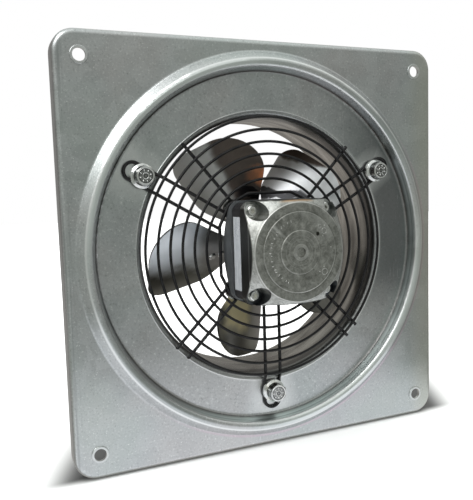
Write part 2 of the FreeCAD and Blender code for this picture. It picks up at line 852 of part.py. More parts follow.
def motor_fasteners():
    """Through screws, their washers and the clamps that hold the guard frame to the motor."""
    head_base = "well_floor + screw_washer_thick"
    nut_back = "clamp_top - clamp_thick - clamp_nut_thick"

    screw = new_body("motor_screw")
    turned(screw, "screw_blank", [
        (f"{head_base} + screw_head_height", "0"),
        (f"{head_base} + screw_head_height", "screw_head - 0.6"),
        (f"{head_base} + screw_head_height - 0.6", "screw_head"),
        (head_base, "screw_head"),
        (head_base, "screw_radius"),
        (f"{nut_back} - 1", "screw_radius"),
        (f"{nut_back} - 1.5", "screw_radius - 0.5"),
        (f"{nut_back} - 1.5", "0"),
    ])
    cut(screw, "screw_socket", f"{head_base} + screw_head_height", "screw_socket_depth",
        lambda s: hexagon(s, "screw_socket_flats"))
    group("motor_screws", [placed(screw, place) for place in screw_places()])

    washer = new_body("screw_washer")
    solid(washer, "screw_washer_disc", head_base, "screw_washer_thick",
          lambda s: circle(s, "screw_head + 0.9"))
    cut(washer, "screw_washer_hole", head_base, "screw_washer_thick",
        lambda s: circle(s, "screw_hole - 0.1"))
    group("screw_washers", [placed(washer, place) for place in screw_places()])

    clamp = new_body("guard_clamp")
    turned(clamp, "clamp_disc", [
        ("seat_level", "screw_hole"),
        ("seat_level", "clamp_collar"),
        ("clamp_top", "clamp_collar"),
        ("clamp_top", "clamp_radius"),
        ("clamp_top - clamp_thick", "clamp_radius"),
        ("clamp_top - clamp_thick", "screw_hole"),
    ])
    group("guard_clamps", [placed(clamp, place) for place in screw_places()])

    nut = new_body("clamp_nut")
    nut_front = "clamp_top - clamp_thick"
    solid(nut, "clamp_nut_hex", nut_front, "clamp_nut_thick", lambda s: hexagon(s, "clamp_nut_flats", 15.0))
    cut(nut, "clamp_nut_bore", nut_front, "clamp_nut_thick", lambda s: circle(s, "screw_radius + 0.02"))
    group("clamp_nuts", [placed(nut, place) for place in screw_places()])


def nameplate():
    """Blank rating plate on the left side of the stack."""
    plate = doc.addObject("Part::Box", "nameplate_box")
    bind(plate, "Length", "label_thick")
    bind(plate, "Width", "label_width")
    bind(plate, "Height", "label_length")
    corner = Vector(-size("stack_side") / 2 - size("label_thick"), -size("label_front"), -28.0)
    plate.Placement = Placement(corner, Rotation())
    keep("nameplate", plate)


def bearing(name, front):
    """A ball bearing: outer ring, inner ring and balls, with its front face at a level."""
    back = f"{front} - bearing_width"

    outer = new_body(name + "_outer")
    turned(outer, name + "_outer_ring", [
        (front, "bearing_outer_race"), (front, "bearing_outer"),
        (back, "bearing_outer"), (back, "bearing_outer_race"),
    ])
    keep(name + "_outer", outer)

    inner = new_body(name + "_inner")
    turned(inner, name + "_inner_ring", [
        (front, "bearing_bore"), (front, "bearing_inner_race"),
        (back, "bearing_inner_race"), (back, "bearing_bore"),
    ])
    keep(name + "_inner", inner)

    pitch = (size("bearing_inner_race") + size("bearing_outer_race")) / 2
    ball = (size("bearing_outer_race") - size("bearing_inner_race")) / 2 - 0.05
    level = size(front) - size("bearing_width") / 2
    balls = []
    for i in range(BALL_COUNT):
        centre = about_axis(360.0 * i / BALL_COUNT, pitch, level).Base
        balls.append(Part.makeSphere(ball, centre))
    group(name + "_balls", balls)


def preload_washer():
    body = new_body("preload_washer")
    turned(body, "spring_ring", [
        ("bearing_front + 0.02", "bearing_outer_race - 0.5"),
        ("bearing_front + preload_thick - 0.02", "bearing_outer_race - 0.5"),
        ("bearing_front + preload_thick - 0.02", "bearing_outer - 0.2"),
        ("bearing_front + 0.02", "bearing_outer - 0.2"),
    ])
    keep("preload_washer", body)


# ---------------------------------------------------------------- rotor and impeller

def rotor():
    shaft = new_body("rotor_shaft")
    turned(shaft, "shaft_turning", [
        ("shaft_front", "0"),
        ("shaft_front", "shaft_radius"),
        ("bearing_front - bearing_width", "shaft_radius"),
        ("bearing_front - bearing_width", "shaft_shoulder"),
        ("stack_front + 0.2", "shaft_shoulder"),
        ("stack_front + 0.2", "shaft_radius + 0.8"),
        ("stack_back - 0.2", "shaft_radius + 0.8"),
        ("stack_back - 0.2", "shaft_shoulder"),
        ("bearing_rear", "shaft_shoulder"),
        ("bearing_rear", "shaft_radius"),
        ("boss_back - 0.1", "shaft_radius"),
        ("boss_back - 0.1", "shaft_radius - 0.5"),
        ("boss_back - 1.1", "shaft_radius - 0.5"),
        ("boss_back - 1.1", "shaft_radius"),
        ("shaft_end + 0.6", "shaft_radius"),
        ("shaft_end", "shaft_radius - 0.6"),
        ("shaft_end", "0"),
    ])
    keep("rotor_shaft", shaft)

    core = new_body("rotor_core")
    turned(core, "core_turning", [
        ("stack_front", "shaft_radius + 0.8"), ("stack_front", "rotor_radius"),
        ("stack_back", "rotor_radius"), ("stack_back", "shaft_radius + 0.8"),
    ])
    keep("rotor_core", core)

    cages = []
    for name, front in (("front_cage", "stack_front + cage_thick"), ("rear_cage", "stack_back")):
        cage = new_body(name)
        turned(cage, name + "_ring", [
            (front, "cage_inner"), (front, "cage_radius"),
            (f"{front} - cage_thick", "cage_radius"), (f"{front} - cage_thick", "cage_inner"),
        ])
        cages.append(cage.Shape.copy())
    group("rotor_end_rings", cages)

    clip = new_body("shaft_clip")
    turned(clip, "clip_ring", [
        ("boss_back - 0.15", "shaft_radius - 0.5"), ("boss_back - 0.15", "shaft_radius + 2.4"),
        ("boss_back - 1.05", "shaft_radius + 2.4"), ("boss_back - 1.05", "shaft_radius - 0.5"),
    ])
    cut(clip, "clip_gap", "boss_back", "2", lambda s: rectangle(s, "2", "1.6", "5"))
    keep("shaft_clip", clip)


def blade_place(angle):
    """A blade stands along its local Z axis, pitched about it, at its angle round the fan."""
    turn = Placement(Vector(), Rotation(Vector(0, 1, 0), 90.0 - angle))
    out = Placement(Vector(0, -size("blade_level"), 0), Rotation())
    pitch = Placement(Vector(), Rotation(Vector(0, 0, 1), -size("blade_pitch")))
    return turn.multiply(out).multiply(pitch)


def rivet_heights():
    return size("rivet_inner"), size("rivet_outer")


def rivet_bores():
    """Drilling cylinders for the rivets of one blade, in the blade's own frame."""
    radius = size("rivet_radius") + 0.05
    reach = 10.0
    bores = [
        Part.makeCylinder(radius, 2 * reach, Vector(0, -reach, height), Vector(0, 1, 0))
        for height in rivet_heights()
    ]
    return Part.makeCompound(bores)


def blade_master():
    """A cambered petal: an arched strip of sheet trimmed to a rounded outline."""
    camber = size("blade_camber")
    thick = size("blade_thick")
    foot = Vector(0, camber, 22.0)
    strip = Part.makeCylinder(camber + thick / 2, 80.0, foot, Vector(0, 0, 1))
    core = Part.makeCylinder(camber - thick / 2, 80.0, foot, Vector(0, 0, 1))
    sheet = strip.cut(core)

    outline = new_body("blade_outline")
    corners = [("14", "24"), ("37", "55"), ("36", "91.6"), ("-36", "91.6"), ("-28", "44"), ("-9", "24")]
    solid(outline, "petal", "30", "60", lambda s: polygon(s, corners))
    radii = {"tip_front": (36.0, "31"), "tip_back": (-36.0, "14"),
             "side_front": (37.0, "20"), "side_back": (-28.0, "24")}
    for corner, (across, radius) in radii.items():
        fillet(outline, corner + "_round", radius,
               lambda e: along_axis(e) and abs(e.BoundBox.XMin - across) < 1e-6)
    blade = sheet.common(outline.Shape).cut(rivet_bores())
    return blade.Solids[0]


def hub_boss():
    """Turned boss on the shaft, with its radial set screw."""
    boss = new_body("hub_boss")
    turned(boss, "boss_turning", [
        ("boss_front", "shaft_radius"), ("boss_front", "hub_radius - 1"),
        ("boss_front - 1", "hub_radius"), ("boss_back + 1", "hub_radius"),
        ("boss_back", "hub_radius - 1"), ("boss_back", "shaft_radius"),
    ])
    screw_radius = size("set_screw_radius")
    screw_level = size("boss_front") - 5.0
    screw_foot = size("shaft_radius") + 0.1
    bore = Part.makeCylinder(
        screw_radius + 0.05, size("hub_radius"), Vector(0, -screw_level, 2.0), Vector(0, 0, 1))
    item = doc.addObject("Part::Feature", "hub_boss_drilled")
    item.Shape = boss.Shape.cut(bore)
    keep("hub_boss", item)

    length = 5.6
    socket_reach = 1.15
    socket_depth = 2.5
    screw = Part.makeCylinder(screw_radius, length, Vector(0, -screw_level, screw_foot), Vector(0, 0, 1))
    turns = [math.radians(60 * i) for i in range(7)]
    socket = Part.makePolygon([
        Vector(socket_reach * math.cos(turn), socket_reach * math.sin(turn), 0) for turn in turns
    ])
    key = Part.Face(socket).extrude(Vector(0, 0, socket_depth))
    key.translate(Vector(0, -screw_level, screw_foot + length - socket_depth))
    group("hub_set_screw", [screw.cut(key)])


def arm_level():
    """Local depth of the spider arms' front faces, just behind the blades."""
    return size("blade_thick") / 2 + size("arm_gap")


def hub_spider():
    """A disc with one flat arm behind each blade, pitched like the blade."""
    width = size("arm_width")
    inner_end = 8.0
    arm = Part.makeBox(
        width, size("arm_thick"), size("arm_end") - inner_end, Vector(-width / 2, arm_level(), inner_end))
    tip_edges = [
        edge for edge in arm.Edges
        if along_axis(edge) and edge.BoundBox.ZMin > inner_end + 1.0
    ]
    arm = arm.makeFillet(width / 2 - 0.2, tip_edges).cut(rivet_bores())
    thick = size("spider_thick")
    front = -size("blade_level") - thick / 2 + 1.5
    spider = Part.makeCylinder(size("spider_radius"), thick, Vector(0, front, 0), Vector(0, 1, 0))
    for angle in BLADE_ANGLES:
        turned_arm = arm.copy()
        turned_arm.Placement = blade_place(angle)
        spider = spider.fuse(turned_arm)
    centre = Part.makeCylinder(size("hub_radius"), size("duct_end"), Vector(0, 0, 0), Vector(0, 1, 0))
    group("hub_spider", [spider.cut(centre).removeSplitter().Solids[0]])


def blade_rivet(height):
    """A rivet through blade and arm, with a flat conical head on each side."""
    play = 0.06
    front = -size("blade_thick") / 2 - play
    back = arm_level() + size("arm_thick") + play
    cap = size("rivet_head_thick")
    head = size("rivet_head")
    along = Vector(0, 1, 0)
    shank = Part.makeCylinder(size("rivet_radius"), back - front, Vector(0, front, height), along)
    front_head = Part.makeCone(head * 0.6, head, cap, Vector(0, front - cap, height), along)
    back_head = Part.makeCone(head, head * 0.6, cap, Vector(0, back, height), along)
    return shank.fuse(front_head).fuse(back_head).removeSplitter()


def impeller():
    blade = blade_master()
    rivets = []
    for number, angle in enumerate(BLADE_ANGLES, start=1):
        item = doc.addObject("Part::Feature", f"blade_{number}_sheet")
        item.Shape = blade
        item.Placement = blade_place(angle)
        keep(f"blade_{number}", item)
        for height in rivet_heights():
            rivet = blade_rivet(height)
            rivet.Placement = blade_place(angle)
            rivets.append(rivet)
    group("blade_rivets", rivets)
    hub_boss()
    hub_spider()


# ---------------------------------------------------------------- build, check and write

wall_plate()
duct_sleeve()
wire_guard()
guard_fasteners()
front_shield()
rear_shield()
cable_grommet()
stator()
motor_fasteners()
nameplate()
bearing("front_bearing", "bearing_front")
bearing("rear_bearing", "bearing_rear")
preload_washer()
rotor()
impeller()
doc.recompute()

for item in doc.Objects:
    if "Invalid" in item.State or "Error" in item.State:
        raise RuntimeError(f"{item.Label} did not recompute: {item.State}")
for label, item in nodes.items():
    if item.Shape.isNull() or not item.Shape.isValid():
        raise RuntimeError(label + " has no valid shape")

os.makedirs("parts", exist_ok=True)
for label, item in nodes.items():
    item.Shape.exportStep(os.path.join("parts", label + ".step"))
print(len(nodes), "sub-parts written")
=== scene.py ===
import json
import math
import random

import bmesh
import bpy
from mathutils import Euler, Matrix, Vector


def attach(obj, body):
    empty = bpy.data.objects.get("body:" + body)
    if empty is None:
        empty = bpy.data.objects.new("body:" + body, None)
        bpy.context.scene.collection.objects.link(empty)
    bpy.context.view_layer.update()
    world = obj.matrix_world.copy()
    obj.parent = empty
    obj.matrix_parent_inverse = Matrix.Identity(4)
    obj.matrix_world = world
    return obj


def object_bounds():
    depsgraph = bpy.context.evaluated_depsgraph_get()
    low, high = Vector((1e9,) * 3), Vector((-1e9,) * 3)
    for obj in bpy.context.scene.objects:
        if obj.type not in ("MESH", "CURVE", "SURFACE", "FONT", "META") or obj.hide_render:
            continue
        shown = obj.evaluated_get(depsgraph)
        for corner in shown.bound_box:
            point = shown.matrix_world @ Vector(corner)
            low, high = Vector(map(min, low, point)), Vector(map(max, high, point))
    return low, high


# Looks of a square-plate axial exhaust fan. Metres, +Y into the wall, origin on the plate's front face.

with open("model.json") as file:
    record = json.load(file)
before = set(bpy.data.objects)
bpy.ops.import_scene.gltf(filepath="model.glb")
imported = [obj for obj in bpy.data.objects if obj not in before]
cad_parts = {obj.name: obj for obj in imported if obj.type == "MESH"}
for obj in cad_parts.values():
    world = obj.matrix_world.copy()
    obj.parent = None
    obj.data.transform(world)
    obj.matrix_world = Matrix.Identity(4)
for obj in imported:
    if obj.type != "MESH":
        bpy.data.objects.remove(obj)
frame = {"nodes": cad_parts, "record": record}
cad_low, cad_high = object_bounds()
nodes = frame["nodes"]
MM = 0.001

# sizes of the CAD nodes that the looks and the added parts follow, in mm and degrees
RINGS = [100.6 - 9.4 * number for number in range(6)]
LOOP_ANGLES = (30, 150, 270)
LOOP_HALF_WIDTH = 6.5
PAIR_ANGLES = (225, 315)
PAIR_HALF_WIDTH = 6.0
SINGLE_ANGLES = (47, 130.5)
WIRE_ENDS = 105.5
BOLT_CIRCLE = 115.0
BOLT_FACE = 8.5
SCREW_X, SCREW_Z = 30.0, 30.5
MOTOR_FACE = 48.6
LIP_RADIUS = 105.9
LIP_LEVEL = -4.0
SLEEVE_RADIUS = 102.5
SLEEVE_START = -12.0

# the plate's pressed rings, as radii in metres
MOUTH_EDGE = 0.1060
BEAD_FOOT = 0.1352
INNER_CREST = 0.1380
OUTER_CREST = 0.1436
BEAD_OUTSIDE = 0.1502

# rings on the motor's front, painted highlights at its steps and a few turning marks, and painted shade
# rings on the bolt heads: radius and half width in metres, strength
RING_HIGHLIGHTS_AND_TURNING = ((0.0357, 0.0007, 0.55), (0.0291, 0.0005, 0.30), (0.0158, 0.0004, 0.45),
                (0.0118, 0.0004, 0.18), (0.0093, 0.0004, 0.18), (0.0058, 0.0004, 0.45))
BOLT_GROOVE_SHADE = ((0.0012, 0.0008, 0.7), (0.0049, 0.0006, 0.8), (0.0068, 0.0007, 0.8))

# small cast marks on the motor's front: angle and radius, and the size of a ring
FACE_RINGS = ((36, 24.5, 2.0), (-38, 25.0, 2.2), (48, 24.0, 1.2))
FACE_DOTS = ((30, 21.5), (42, 27.2), (-44, 21.8), (-31, 22.4), (5, 25.5), (-8, 12.0), (160, 12.5))

# the studio, in metres: the floor's level, the part of it that mirrors in the fan, its far edge
FLOOR = cad_low.z - 0.001
NEAR_X = (-0.30, 0.22)
NEAR_Y = (-0.23, 0.0)
FAR = 4.0


# ---------------------------------------------------------------- node helpers

class Graph:
    """A small helper round one material's node tree."""

    def __init__(self, name):
        self.material = bpy.data.materials.new(name)
        self.material.use_nodes = True
        self.tree = self.material.node_tree
        self.tree.nodes.clear()
        self.output = self.tree.nodes.new("ShaderNodeOutputMaterial")
        self.shader = self.tree.nodes.new("ShaderNodeBsdfPrincipled")
        self.link(self.shader.outputs["BSDF"], self.output.inputs["Surface"])
        self.place = self.tree.nodes.new("ShaderNodeTexCoord").outputs["Object"]

    def link(self, source, target):
        self.tree.links.new(source, target)

    def feed(self, socket, value):
        """Put a number, a colour or another node's output into a socket."""
        if isinstance(value, bpy.types.NodeSocket):
            self.link(value, socket)
        elif isinstance(value, (tuple, list)) and len(value) == 3 and socket.type == "RGBA":
            socket.default_value = (*value, 1.0)
        else:
            socket.default_value = value

    def stretched(self, scale, turn=(0.0, 0.0, 0.0)):
        """Object coordinates, scaled by a different number along each axis."""
        node = self.tree.nodes.new("ShaderNodeMapping")
        self.link(self.place, node.inputs["Vector"])
        node.inputs["Scale"].default_value = scale
        node.inputs["Rotation"].default_value = turn
        return node.outputs["Vector"]

    def noise(self, scale, detail=4.0, rough=0.55, distortion=0.0, place=None):
        node = self.tree.nodes.new("ShaderNodeTexNoise")
        self.link(place or self.place, node.inputs["Vector"])
        node.inputs["Scale"].default_value = scale
        node.inputs["Detail"].default_value = detail
        node.inputs["Roughness"].default_value = rough
        node.inputs["Distortion"].default_value = distortion
        return node.outputs["Fac"]

    def cells(self, scale, place=None, output="Distance"):
        node = self.tree.nodes.new("ShaderNodeTexVoronoi")
        self.link(place or self.place, node.inputs["Vector"])
        node.inputs["Scale"].default_value = scale
        return node.outputs[output]

    def waves(self, scale, distortion=0.0):
        """Fine bands across the fan's axis."""
        node = self.tree.nodes.new("ShaderNodeTexWave")
        self.link(self.place, node.inputs["Vector"])
        node.bands_direction = "Y"
        node.inputs["Scale"].default_value = scale
        node.inputs["Distortion"].default_value = distortion
        return node.outputs["Fac"]

    def ramp(self, value, stops):
        """Map a number to colours or greys; stops are (position, grey or colour)."""
        node = self.tree.nodes.new("ShaderNodeValToRGB")
        self.link(value, node.inputs["Fac"])
        elements = node.color_ramp.elements
        while len(elements) < len(stops):
            elements.new(0.5)
        for element, (position, colour) in zip(elements, stops):
            element.position = position
            grey = (colour, colour, colour) if isinstance(colour, (int, float)) else colour
            element.color = (*grey, 1.0)
        return node.outputs["Color"]

    def mix(self, factor, first, second):
        """The first colour at factor 0 and the second at factor 1."""
        node = self.tree.nodes.new("ShaderNodeMix")
        node.data_type = "RGBA"
        self.feed(node.inputs["Factor"], factor)
        self.feed(node.inputs[6], first)
        self.feed(node.inputs[7], second)
        return node.outputs[2]

    def math(self, how, first, second=0.0):
        node = self.tree.nodes.new("ShaderNodeMath")
        node.operation = how
        self.feed(node.inputs[0], first)
        self.feed(node.inputs[1], second)
        return node.outputs[0]

    def split(self, vector=None):
        """The three components of a vector, by default of the object coordinates."""
        node = self.tree.nodes.new("ShaderNodeSeparateXYZ")
        self.link(vector or self.place, node.inputs[0])
        return node.outputs

    def length(self, across, along):
        """Distance from the two offsets at right angles."""
        squares = self.math("ADD", self.both(across, across), self.both(along, along))
        return self.math("SQRT", squares)

    def radius(self):
        """Distance from the fan's axis."""
        x, _, z = self.split()
        return self.length(x, z)

    def line(self, value, centre, half_width):
        """1 where the value is at the centre, falling to 0 at the half width."""
        away = self.math("ABSOLUTE", self.math("SUBTRACT", value, centre))
        return self.rise(away, half_width, 0.0)

    def rise(self, value, low, high):
        """0 below low and 1 above high; a falling mask when low is above high."""
        node = self.tree.nodes.new("ShaderNodeMapRange")
        node.interpolation_type = "SMOOTHSTEP"
        self.link(value, node.inputs["Value"])
        node.inputs["From Min"].default_value = low
        node.inputs["From Max"].default_value = high
        return node.outputs["Result"]

    def both(self, *masks):
        """Product of several masks or numbers."""
        result = masks[0]
        for mask in masks[1:]:
            result = self.math("MULTIPLY", result, mask)
        return result

    def edges(self, low=0.5, high=0.56):
        """Near 1 on convex edges."""
        geometry = self.tree.nodes.new("ShaderNodeNewGeometry")
        return self.ramp(geometry.outputs["Pointiness"], [(low, 0.0), (high, 1.0)])

    def bump(self, height, strength, distance, below=None):
        node = self.tree.nodes.new("ShaderNodeBump")
        node.inputs["Strength"].default_value = strength
        node.inputs["Distance"].default_value = distance
        self.link(height, node.inputs["Height"])
        if below is not None:
            self.link(below, node.inputs["Normal"])
        return node.outputs["Normal"]

    def surface(self, colour, roughness, metallic=0.0, normal=None, **extra):
        self.feed(self.shader.inputs["Base Color"], colour)
        self.feed(self.shader.inputs["Roughness"], roughness)
        self.feed(self.shader.inputs["Metallic"], metallic)
        if normal is not None:
            self.link(normal, self.shader.inputs["Normal"])
        for name, value in extra.items():
            self.feed(self.shader.inputs[name.replace("_", " ")], value)
        return self.material


# ---------------------------------------------------------------- materials

def sheet_base(g):
    """Zinc skin: soft spangle, cloudy patches, rolling streaks, faint tints and tiny bright specks."""
    flower = g.split(g.cells(105.0, output="Color"))[0]
    cloud = g.noise(14.0, detail=5.0, rough=0.6, distortion=0.6)
    streak = g.noise(60.0, detail=4.0, place=g.stretched((1.0, 1.0, 0.12)))
    base = g.ramp(cloud, [(0.30, (0.465, 0.495, 0.500)), (0.52, (0.545, 0.570, 0.570)),
                          (0.72, (0.620, 0.630, 0.620))])
    tint = g.ramp(g.noise(9.0, detail=3.0),
                  [(0.42, (0.55, 0.60, 0.58)), (0.50, (0.58, 0.585, 0.60)), (0.58, (0.62, 0.570, 0.58))])
    base = g.mix(0.40, base, tint)
    base = g.mix(g.both(flower, 0.20), base, (0.80, 0.82, 0.83))
    base = g.mix(g.both(streak, 0.20), base, (0.38, 0.40, 0.41))
    grain = g.noise(650.0, detail=3.0, rough=0.7)
    base = g.mix(g.both(g.rise(grain, 0.44, 0.30), 0.60), base, (0.26, 0.27, 0.27))
    base = g.mix(g.both(g.rise(grain, 0.56, 0.70), 0.65), base, (0.93, 0.94, 0.93))
    specks = g.rise(g.cells(330.0), 0.16, 0.09)
    patchy = g.rise(g.noise(35.0, detail=2.0), 0.50, 0.58)
    base = g.mix(g.both(specks, patchy, 0.6), base, (0.96, 0.97, 0.96))
    return base, cloud, flower


def sheet_rings(g, base):
    """Painted light and shade that follow the pressing: painted highlights on the bead's crest lines, its
    inner face and the mouth's edge, painted shade at the bead's base and over the recess.
    """
    x, _, z = g.split()
    r = g.radius()
    aslant = g.math("SUBTRACT", x, z)
    recess = g.both(g.rise(r, 0.1055, 0.1085), g.rise(r, BEAD_FOOT, 0.1335))
    # painted shade over the whole recess
    base = g.mix(g.both(recess, 0.22), base, (0.28, 0.30, 0.31))
    # more painted shade over the recess on the right side
    recess_shade_right = g.both(recess, g.rise(x, 0.045, 0.115), g.rise(z, -0.075, -0.02))
    base = g.mix(g.both(recess_shade_right, 0.75), base, (0.13, 0.135, 0.14))
    flat = g.both(g.rise(r, INNER_CREST, 0.1388), g.rise(r, 0.1434, 0.1424))
    lengthwise = g.math("ABSOLUTE", aslant)
    # painted shade on the crest's flat towards upper right and lower left, painted highlight towards upper
    # left and lower right
    base = g.mix(g.both(flat, g.rise(lengthwise, 0.10, 0.02), 0.6), base, (0.34, 0.385, 0.38))
    base = g.mix(g.both(flat, g.rise(lengthwise, 0.10, 0.18), 0.85), base, (0.86, 0.91, 0.90))
    # painted highlight on the bead's inner face on the lower right, with a darker line through it
    inner_slope_sheen = g.both(g.rise(r, 0.1350, 0.1358), g.rise(r, 0.1382, 0.1376), g.rise(aslant, 0.0, 0.10))
    base = g.mix(g.both(inner_slope_sheen, 0.9), base, (0.88, 0.98, 0.96))
    base = g.mix(g.both(g.line(r, 0.1368, 0.0004), g.rise(aslant, 0.0, 0.10), 0.7), base, (0.45, 0.49, 0.49))
    # painted shade in the crease at the bead's base, strongest at the top
    shaded = g.math("ADD", g.both(g.rise(z, -0.03, 0.05), 0.35), 0.55)
    foot_shade = g.both(g.line(r, BEAD_FOOT, 0.0014), shaded)
    base = g.mix(foot_shade, base, (0.085, 0.072, 0.062))
    # painted highlight lines along the bead's two crest edges
    crest_highlights = g.math("MAXIMUM", g.line(r, OUTER_CREST, 0.0012), g.line(r, INNER_CREST, 0.0010))
    base = g.mix(g.both(crest_highlights, 0.85), base, (0.96, 0.97, 0.97))
    # painted reflection tint along the bead's outer edge on the lower right
    outside_sheen = g.both(g.line(r, BEAD_OUTSIDE, 0.0017), g.rise(aslant, 0.0, 0.12))
    base = g.mix(g.both(outside_sheen, 0.55), base, (0.66, 0.52, 0.60))
    # painted highlight along the mouth's edge on the lower right
    lip_highlight = g.both(g.line(r, MOUTH_EDGE, 0.0013), g.rise(aslant, -0.02, 0.08))
    return g.mix(g.both(lip_highlight, 0.9), base, (0.97, 0.97, 0.97))


def galvanised_sheet():
    """Hot-dip galvanised sheet: the plate and its duct, which is stained inside; painted highlights and
    shade on the pressed rings and painted shade over the duct's rounded mouth.
    """
    g = Graph("galvanised_sheet")
    base, cloud, flower = sheet_base(g)
    base = sheet_rings(g, base)
    x, depth, _ = g.split()
    stripes = g.rise(g.noise(480.0, detail=2.0, place=g.stretched((1.0, 1.0, 0.02))), 0.45, 0.65)
    base = g.mix(g.both(stripes, g.rise(x, -0.149, -0.155), 0.55), base, (0.27, 0.285, 0.29))
    base = g.mix(g.both(g.rise(x, 0.130, 0.152), 0.35), base, (0.64, 0.62, 0.50))
    base = g.mix(g.both(g.edges(), 0.50), base, (0.90, 0.91, 0.91))
    inside = g.both(g.rise(depth, 0.0045, 0.012), g.rise(g.radius(), 0.1022, 0.1014))
    stain = g.ramp(g.noise(60.0, detail=5.0, place=g.stretched((0.35, 1.6, 0.35))),
                   [(0.35, (0.26, 0.245, 0.225)), (0.65, (0.66, 0.635, 0.59))])
    base = g.mix(inside, base, stain)
    # painted shade over the rounded mouth of the duct
    mouth = g.both(g.rise(depth, 0.0048, 0.0062), g.rise(depth, 0.022, 0.013),
                   g.rise(g.radius(), 0.1062, 0.1052))
    base = g.mix(g.both(mouth, 0.80), base, (0.055, 0.052, 0.048))
    drawn_out = g.stretched((14.0, 14.0, 0.7), (0.0, 0.5, 0.0))
    scratch = g.rise(g.noise(50.0, detail=6.0, rough=0.75, place=drawn_out), 0.60, 0.68)
    base = g.mix(g.both(scratch, 0.25), base, (0.85, 0.86, 0.87))
    rough = g.math("ADD", 0.235, g.both(cloud, 0.15))
    rough = g.math("ADD", rough, g.both(flower, 0.06))
    rough = g.math("SUBTRACT", rough, g.both(inside, 0.10))
    normal = g.bump(g.noise(420.0, detail=3.0), 0.10, 0.0003)
    normal = g.bump(cloud, 0.06, 0.002, below=normal)
    normal = g.bump(scratch, 0.05, 0.0002, below=normal)
    return g.surface(base, rough, 1.0, normal)


def black_wire():
    """Powder-coated wire: black with a slight orange peel, greyer and rougher in patches."""
    g = Graph("black_wire")
    peel = g.noise(900.0, detail=2.0)
    dust = g.noise(120.0, detail=4.0)
    colour = g.ramp(dust, [(0.40, (0.004, 0.004, 0.005)), (0.75, (0.014, 0.013, 0.013))])
    rough = g.math("ADD", 0.26, g.both(dust, 0.18))
    return g.surface(colour, rough, 0.0, g.bump(peel, 0.25, 0.0002), Specular_IOR_Level=0.35)


def from_bolts(g):
    """Distance from the nearest of the three guard bolts' axes."""
    x, _, z = g.split()
    nearest = None
    for angle in LOOP_ANGLES:
        centre = around(angle, BOLT_CIRCLE, 0.0)
        away = g.length(g.math("SUBTRACT", x, centre.x), g.math("SUBTRACT", z, centre.z))
        nearest = away if nearest is None else g.math("MINIMUM", nearest, away)
    return nearest


def zinc_fastener():
    """Bright zinc plating with dark blots, a painted dark reflection on each bolt's flat face and painted
    shade in the stamped hollows round its axis.
    """
    g = Graph("zinc_fastener")
    blot = g.noise(260.0, detail=4.0)
    hue = g.ramp(g.noise(150.0, detail=2.0),
                 [(0.35, (0.70, 0.73, 0.74)), (0.50, (0.76, 0.76, 0.75)), (0.65, (0.78, 0.77, 0.72))])
    colour = g.mix(g.both(g.rise(blot, 0.40, 0.65), 0.65), hue, (0.22, 0.225, 0.22))
    colour = g.mix(g.both(g.edges(), 0.6), colour, (0.97, 0.97, 0.96))
    away = from_bolts(g)
    _, depth, _ = g.split()
    # painted dark reflection over each bolt's flat face
    face = g.both(g.rise(away, 0.0058, 0.0054), g.rise(depth, -0.0080, -0.0083),
                  g.rise(depth, -0.00868, -0.00858))
    colour = g.mix(g.both(face, 0.70), colour, (0.09, 0.094, 0.094))
    # painted shade lines in the rings round each bolt's axis
    for radius, width, strength in BOLT_GROOVE_SHADE:
        colour = g.mix(g.both(g.line(away, radius, width), strength), colour, (0.05, 0.052, 0.052))
    rough = g.math("ADD", 0.10, g.both(blot, 0.20))
    return g.surface(colour, rough, 1.0, g.bump(g.noise(700.0, detail=3.0), 0.35, 0.0004))


